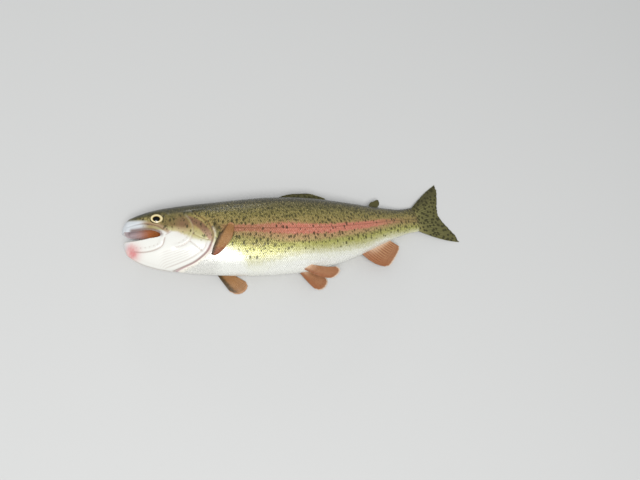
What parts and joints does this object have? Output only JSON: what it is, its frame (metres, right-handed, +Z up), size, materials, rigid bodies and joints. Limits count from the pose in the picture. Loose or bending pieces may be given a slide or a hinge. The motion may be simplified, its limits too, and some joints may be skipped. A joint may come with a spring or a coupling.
{
  "type": "rainbow trout",
  "caption": "Life-size rainbow trout lying on its right side with its mouth open, one pectoral fin raised along the flank and the tail curved towards the back.",
  "frame": {"origin": "middle of the fish's bounding box, on the floor it lies on", "axes": "-X towards the snout, +X towards the tail fin, +Y towards the fish's back, -Y towards its belly, +Z up out of its left side"},
  "size_m": [0.4316, 0.157, 0.0613],
  "materials": {
    "skin": "wet",
    "fin": "wet",
    "mouth": "wet",
    "eye": "gloss"
  },
  "bodies": {
    "root": {"head": "skin", "lower_jaw": "skin", "throat": "skin", "gill_cover_left": "skin", "gill_cover_right": "skin", "maxilla_left": "skin", "maxilla_right": "skin", "trunk_front": "skin", "trunk_rear": "skin", "tail_stalk": "skin", "dorsal_fin": "fin", "adipose_fin": "fin", "caudal_fin": "fin", "anal_fin": "fin", "pectoral_fin_left": "fin", "pectoral_fin_right": "fin", "pelvic_fin_left": "fin", "pelvic_fin_right": "fin", "tongue": "mouth", "eye_left": "eye", "eye_right": "eye"}
  },
  "joints": []
}
